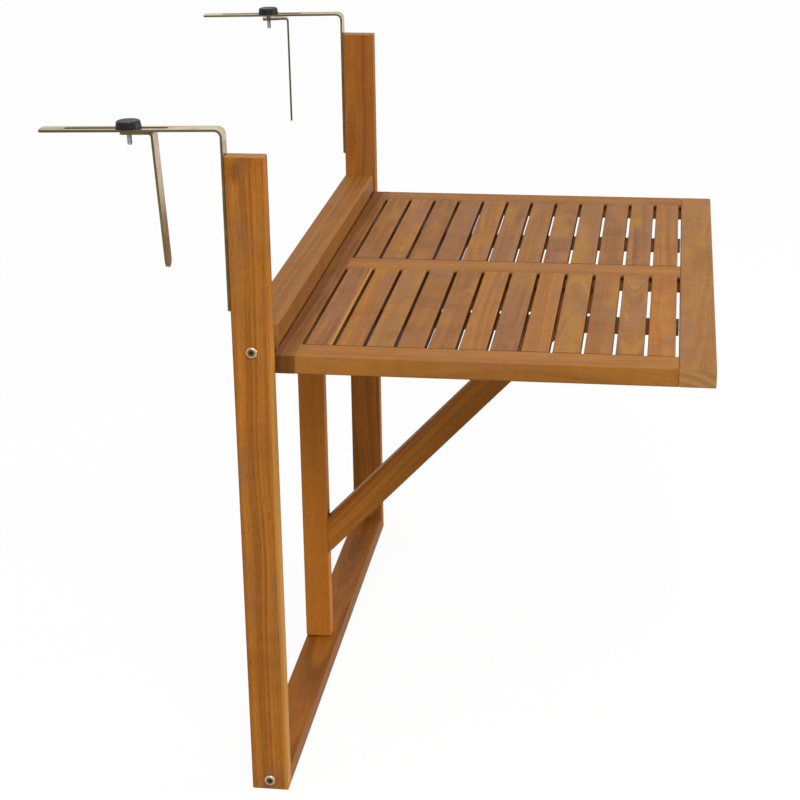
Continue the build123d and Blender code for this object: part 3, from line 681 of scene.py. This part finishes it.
def bolt_material(metal):
    """Plated button heads: a rougher ring round the socket with a painted dark reflection, plain bright
    plating along the rim and painted shade inside the socket.
    """
    material, shader, start = new_material("plated_bolt")
    low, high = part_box("frame_bolts")
    head = (high.y - low.y) / 2
    place, (_, y, z) = object_places(start)
    side = y - (low.y + high.y) / 2
    rise = abs(z - (low.z + head)).maths("MINIMUM", abs(z - (high.z - head)))
    away = side.hypotenuse(rise) / head
    tarnish = place.noise(TARNISH_WAVES, 3.0, 0.6)
    specks = place.noise(BOLT_SPECK_WAVES, 2.0, 0.6)
    colour = tarnish.between(0.4, 0.65).mix(metal.gold, metal.blush)
    # Painted dark reflection on the dome round the socket, where the plating is also rougher
    ring = (1 - (away + (tarnish - 0.5) * 0.25).between(*DULL_RING_DARK_REFLECTION)) * 0.7
    colour = ring.mix(colour, metal.cut)
    # Painted shade inside the hex socket, darkest at its core
    colour = (1 - away.between(*SOCKET_SHADE)).mix(colour, scaled(metal.cut, 0.7))
    colour = (1 - away.between(*SOCKET_CORE_SHADE)).mix(colour, scaled(metal.cut, 0.2))
    roughness = metal.roughness - 0.08 + ring * 0.15 + (specks - 0.5) * 0.2
    feed(shader, base_color=colour, metallic=1.0, roughness=roughness.clamped(),
         normal=bumped(specks, BOLT_TEXTURE))
    return material


def moulded_material(knob):
    """Moulded black plastic with a fine texture, rubbed paler in places."""
    material, shader, start = new_material("moulded_knob")
    place = object_places(start)[0]
    texture = place.noise(TEXTURE_WAVES, 2.0, 0.6)
    wear = place.noise(WEAR_WAVES, 3.0, 0.6).between(0.5, 0.75)
    colour = (wear * 0.5).mix(knob.colour, scaled(knob.colour, 1.8))
    roughness = knob.roughness + (texture - 0.5) * 0.18 + wear * 0.12
    feed(shader, base_color=colour, roughness=roughness.clamped(), normal=bumped(texture, KNOB_TEXTURE))
    shader.inputs["Specular IOR Level"].default_value = knob.specular
    return material


def dress(node_name, material):
    """Puts a material on a node of the model."""
    node = frame["nodes"][node_name]
    for slot in node.material_slots:
        slot.material = material
    if not node.material_slots:
        node.data.materials.append(material)


def dress_board(context, node_name, grain, tone, **figure):
    """Finishes one board of the model in timber of its own."""
    settings = settings_of(context)
    material = timber_material(node_name, grain, tone, settings.timber, settings.studio.seed, **figure)
    dress(node_name, material)


def joint_axis(name):
    """Direction of a joint's axis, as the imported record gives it."""
    joints = frame["record"]["behaviour"]["joints"]
    return next(Vector(joint["axis"]) for joint in joints if joint["name"] == name)


def threaded_rod(name, node_name, axis, metal):
    """A rod with a cut thread and tapered ends, in the place of a plain one."""
    low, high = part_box(node_name)
    radius = (high.x - low.x) / 2
    lean = axis.angle(UP)
    length = (high.z - low.z - 2 * radius * math.sin(lean)) / math.cos(lean)
    rows = int(length / metal.thread_pitch * STEPS_PER_PITCH)
    taper = TAPERED_TURNS * metal.thread_pitch
    mesh = bmesh.new()
    rings = []
    for row in range(rows + 1):
        height = length * row / rows
        end = min(height, length - height)
        crest = radius - max(0, 1 - end / taper) * metal.thread_depth
        ring = []
        for step in range(STEPS_ROUND):
            turn = step / STEPS_ROUND
            phase = (height / metal.thread_pitch - turn) % 1
            groove = metal.thread_depth * (1 - abs(2 * phase - 1))
            reach = min(crest, radius - groove)
            angle = math.tau * turn
            point = (reach * math.cos(angle), reach * math.sin(angle), height - length / 2)
            ring.append(mesh.verts.new(point))
        rings.append(ring)
    for lower, upper in zip(rings, rings[1:]):
        for step in range(STEPS_ROUND):
            after = (step + 1) % STEPS_ROUND
            mesh.faces.new((lower[step], lower[after], upper[after], upper[step]))
    mesh.faces.new(reversed(rings[0]))
    mesh.faces.new(rings[-1])
    turned = UP.rotation_difference(axis).to_matrix().to_4x4()
    bmesh.ops.transform(mesh, matrix=Matrix.Translation((low + high) / 2) @ turned, verts=mesh.verts)
    data = bpy.data.meshes.new(name)
    mesh.to_mesh(data)
    mesh.free()
    for face in data.polygons:
        face.use_smooth = len(face.vertices) == 4
    rod = bpy.data.objects.new(name, data)
    bpy.context.scene.collection.objects.link(rod)
    return rod


def seen_directly(start):
    """1 where a surface is seen, also in a reflection or through glass, and 0 for the light that it gives."""
    camera, glossy, through_glass = [start.node("ShaderNodeLightPath", output=f"Is {kind} Ray")
                                     for kind in ("Camera", "Glossy", "Transmission")]
    return (camera + glossy + through_glass).clamped()


def lay_floor(scene, studio):
    """A wide pale floor at the foot of the posts that shows shadows softly."""
    data = bpy.data.meshes.new("floor")
    around = ((-1, -1), (1, -1), (1, 1), (-1, 1))
    corners = [(FLOOR_REACH * x, FLOOR_REACH * y, cad_low[2]) for x, y in around]
    data.from_pydata(corners, [], [(0, 1, 2, 3)])
    floor = bpy.data.objects.new("floor", data)
    scene.collection.objects.link(floor)
    material, shader, start = new_material("pale_floor")
    tree = material.node_tree
    seen = seen_directly(start)
    feed(shader, base_color=seen.mix(studio.bounce, studio.floor), roughness=studio.floor_roughness)
    white = start.node("ShaderNodeEmission", None, {"Color": WHITE, "Strength": 1.0})
    share = seen * (1 - studio.shadow)
    mixed = start.node("ShaderNodeMixShader", None, {0: share, 1: Socket(tree, shader.outputs[0]), 2: white})
    tree.links.new(mixed.socket, tree.nodes["Material Output"].inputs["Surface"])
    data.materials.append(material)


def light_sky(scene, studio):
    """An even white sky that lights the table softly and shows as white."""
    world = bpy.data.worlds.new("studio_sky")
    scene.world = world
    world.use_nodes = True
    tree = world.node_tree
    background = tree.nodes["Background"]
    background.inputs["Color"].default_value = WHITE
    strength = seen_directly(Socket(tree)) * (1 - studio.sky) + studio.sky
    tree.links.new(strength.socket, background.inputs["Strength"])


def hang_lamp(scene, name, power, size, place, target):
    """A large soft lamp that points at a target."""
    data = bpy.data.lights.new(name, "AREA")
    data.shape = "DISK"
    data.size = size
    data.energy = power
    lamp = bpy.data.objects.new(name, data)
    lamp.location = place
    lamp.rotation_euler = (target - Vector(place)).to_track_quat("-Z", "Y").to_euler()
    scene.collection.objects.link(lamp)


def set_camera(scene, studio):
    """The camera at the photograph's viewing angle."""
    heading = Vector((math.cos(studio.turn), math.sin(studio.turn), 0))
    forward = heading * math.cos(studio.dip) - UP * math.sin(studio.dip)
    level = Vector((math.sin(studio.turn), -math.cos(studio.turn), 0))
    down = forward.cross(level)
    right = level * math.cos(studio.roll) + down * math.sin(studio.roll)
    up = level * math.sin(studio.roll) - down * math.cos(studio.roll)
    data = bpy.data.cameras.new("camera")
    data.sensor_width = FILM_WIDTH
    data.lens = studio.reach
    data.clip_end = VIEW_REACH
    camera = bpy.data.objects.new("camera", data)
    turned = Matrix((right, up, -forward)).transposed().to_4x4()
    camera.matrix_world = Matrix.Translation(studio.place) @ turned
    scene.collection.objects.link(camera)
    scene.camera = camera


class BALCONY_OT_frame_timber(bpy.types.Operator):
    """Finish the two posts and the two rails of the hanging frame"""
    bl_idname = "balcony.frame_timber"
    bl_label = "Frame timber"

    def execute(self, context):
        timber = settings_of(context).timber
        dress_board(context, "left_post", "Z", timber.amber, figure=1.4, mottle=0.55, flecks=0.4,
                    sapwood=(-1, 0.004, 0.2), stain=(0.305, 0.0095))
        dress_board(context, "right_post", "Z", timber.dusk, figure=1.2, mottle=0.35, flecks=0.35)
        # The upper rail's front and back faces are darkened by painted shade
        dress_board(context, "upper_rail", "X", tinted(timber.umber, GOLDEN_RAIL), figure=0.7, mottle=0.5,
                    flanks=0.28)
        dress_board(context, "bottom_rail", "X", tinted(timber.dusk, SHADED_RAIL), figure=1.8, mottle=0.12,
                    joint=0.045)
        return {"FINISHED"}


class BALCONY_OT_table_rails(bpy.types.Operator):
    """Finish the five rails of the table top, the battens under the slats and the dowels"""
    bl_idname = "balcony.table_rails"
    bl_label = "Table rails"

    def execute(self, context):
        timber = settings_of(context).timber
        # The back rail is painted darker as a whole, and darker still along its edge by the upper rail and at
        # its ends beside the posts: painted shade
        dress_board(context, "table_back_rail", "X", tinted(timber.umber, SHADED_BACK_RAIL), mottle=0.5,
                    end=timber.shaded_end, grime=(1, 0.016))
        dress_board(context, "table_front_rail", "X", timber.straw, figure=0.6, mottle=0.8)
        for place in ("left", "right", "centre"):
            dress_board(context, f"table_{place}_rail", "Y", timber.honey, figure=0.8, mottle=0.55)
        for side in SIDES:
            dress_board(context, f"{side}_batten", "Y", timber.umber, figure=0.8, mottle=0.55)
        dress_board(context, "table_dowels", "Y", timber.straw)
        dress_board(context, "frame_dowels", "X", timber.straw)
        return {"FINISHED"}


class BALCONY_OT_slats(bpy.types.Operator):
    """Finish the slats, each sawn from a board of its own tone"""
    bl_idname = "balcony.slats"
    bl_label = "Slats"

    def execute(self, context):
        timber = settings_of(context).timber
        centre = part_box("table_centre_rail")
        shoulders = {"left": (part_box("table_left_rail")[1].x, centre[0].x),
                     "right": (centre[1].x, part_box("table_right_rail")[0].x)}
        for side in SIDES:
            for number, tone in enumerate(SLAT_TONES[side], start=1):
                node_name = f"{side}_slat_{number:02d}"
                figure = {**PLAIN_SLAT, **SLAT_FIGURES.get(node_name, {})}
                # The sides of the slats, down in their gaps, are darkened by painted shade
                dress_board(context, node_name, "X", getattr(timber, tone), shoulders=shoulders[side],
                            flanks=0.8, **figure)
        return {"FINISHED"}


class BALCONY_OT_gate(bpy.types.Operator):
    """Finish the upright, the bar and the brace of the gate"""
    bl_idname = "balcony.gate"
    bl_label = "Gate"

    def execute(self, context):
        timber = settings_of(context).timber
        dress_board(context, "gate_post", "Z", timber.deep, figure=0.4, mottle=0.15)
        dress_board(context, "gate_bar", "Y", timber.amber, figure=0.8, mottle=0.3)
        dress_board(context, "gate_brace", "Y", timber.amber, mottle=0.2,
                    slant=(timber.brace_angle, timber.brace_width))
        return {"FINISHED"}


class BALCONY_OT_straps(bpy.types.Operator):
    """Finish the hooks and the clamp brackets of plated strap"""
    bl_idname = "balcony.straps"
    bl_label = "Hooks and clamps"

    def execute(self, context):
        metal = settings_of(context).metal
        tones = (metal.gold, metal.olive, metal.blush)
        hook = plated_material("plated_hook", metal, tones, "Y", metal.cut)
        bracket = plated_material("plated_bracket", metal, tones, "Z", metal.cut)
        for side in SIDES:
            dress(f"{side}_hook", hook)
            dress(f"{side}_clamp_bracket", bracket)
        return {"FINISHED"}


class BALCONY_OT_studs(bpy.types.Operator):
    """Cut the threaded studs that run through the slots of the hooks"""
    bl_idname = "balcony.studs"
    bl_label = "Studs"

    def execute(self, context):
        metal = settings_of(context).metal
        material = plated_material("zinc_stud", metal, (metal.zinc, metal.zinc, metal.zinc))
        for side in SIDES:
            axis = joint_axis(f"{side}_knob_turn")
            stud = threaded_rod(f"{side}_threaded_stud", f"{side}_clamp_stud", axis, metal)
            stud.data.materials.append(material)
            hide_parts(f"{side}_clamp_stud")
            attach(stud, f"{side}_stud_body")
        return {"FINISHED"}


class BALCONY_OT_fasteners(bpy.types.Operator):
    """Finish the bolts, nuts, screws, pins and hinge leaves"""
    bl_idname = "balcony.fasteners"
    bl_label = "Fasteners"

    def execute(self, context):
        metal = settings_of(context).metal
        bolt = bolt_material(metal)
        zinc = plated_material("zinc_fastener", metal, (metal.zinc, metal.zinc, metal.gold), scratch=0.7)
        dress("frame_bolts", bolt)
        for node_name in ("barrel_nuts", "hook_screws", "slat_screws", "gate_screws", "gate_pins",
                          "hinge_pins", "frame_hinge_leaves", "table_hinge_leaves", "frame_hinge_screws",
                          "table_hinge_screws"):
            dress(node_name, zinc)
        return {"FINISHED"}


class BALCONY_OT_knobs(bpy.types.Operator):
    """Finish the moulded knobs"""
    bl_idname = "balcony.knobs"
    bl_label = "Knobs"

    def execute(self, context):
        material = moulded_material(settings_of(context).knob)
        for side in SIDES:
            dress(f"{side}_knob", material)
        return {"FINISHED"}


class BALCONY_OT_stage(bpy.types.Operator):
    """Set the floor, the lamps, the sky and the camera"""
    bl_idname = "balcony.stage"
    bl_label = "Studio"

    def execute(self, context):
        studio = settings_of(context).studio
        scene = context.scene
        scene.view_settings.view_transform = "Standard"
        lay_floor(scene, studio)
        light_sky(scene, studio)
        middle = (Vector(cad_low) + Vector(cad_high)) / 2
        hang_lamp(scene, "key_lamp", studio.key, studio.key_size, studio.key_place, middle)
        hang_lamp(scene, "front_lamp", studio.front, studio.front_size, studio.front_place, middle)
        set_camera(scene, studio)
        return {"FINISHED"}


class BALCONY_PT_panel(bpy.types.Panel):
    """The balcony table's finishes and settings."""
    bl_idname = "BALCONY_PT_panel"
    bl_label = "Balcony table"
    bl_space_type = "VIEW_3D"
    bl_region_type = "UI"
    bl_category = "Balcony table"

    def draw(self, context):
        settings = settings_of(context)
        for operator in OPERATORS:
            self.layout.operator(operator.bl_idname)
        for group in (settings.timber, settings.metal, settings.knob, settings.studio):
            box = self.layout.box()
            for name in group.bl_rna.properties.keys():
                if name not in ("rna_type", "name"):
                    box.prop(group, name)


GROUPS = (TimberSettings, MetalSettings, KnobSettings, StudioSettings, TableSettings)
OPERATORS = (
    BALCONY_OT_frame_timber,
    BALCONY_OT_table_rails,
    BALCONY_OT_slats,
    BALCONY_OT_gate,
    BALCONY_OT_straps,
    BALCONY_OT_studs,
    BALCONY_OT_fasteners,
    BALCONY_OT_knobs,
    BALCONY_OT_stage,
)


def register():
    """Registers the settings, the operators and the panel."""
    for kind in (*GROUPS, *OPERATORS, BALCONY_PT_panel):
        bpy.utils.register_class(kind)
    bpy.types.Scene.balcony_table = PointerProperty(type=TableSettings)


def unregister():
    """Removes what register added."""
    del bpy.types.Scene.balcony_table
    for kind in reversed((*GROUPS, *OPERATORS, BALCONY_PT_panel)):
        bpy.utils.unregister_class(kind)


def main():
    """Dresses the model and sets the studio."""
    register()
    for operator in OPERATORS:
        group, name = operator.bl_idname.split(".")
        getattr(getattr(bpy.ops, group), name)()
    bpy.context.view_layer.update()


if __name__ == "__main__":
    main()
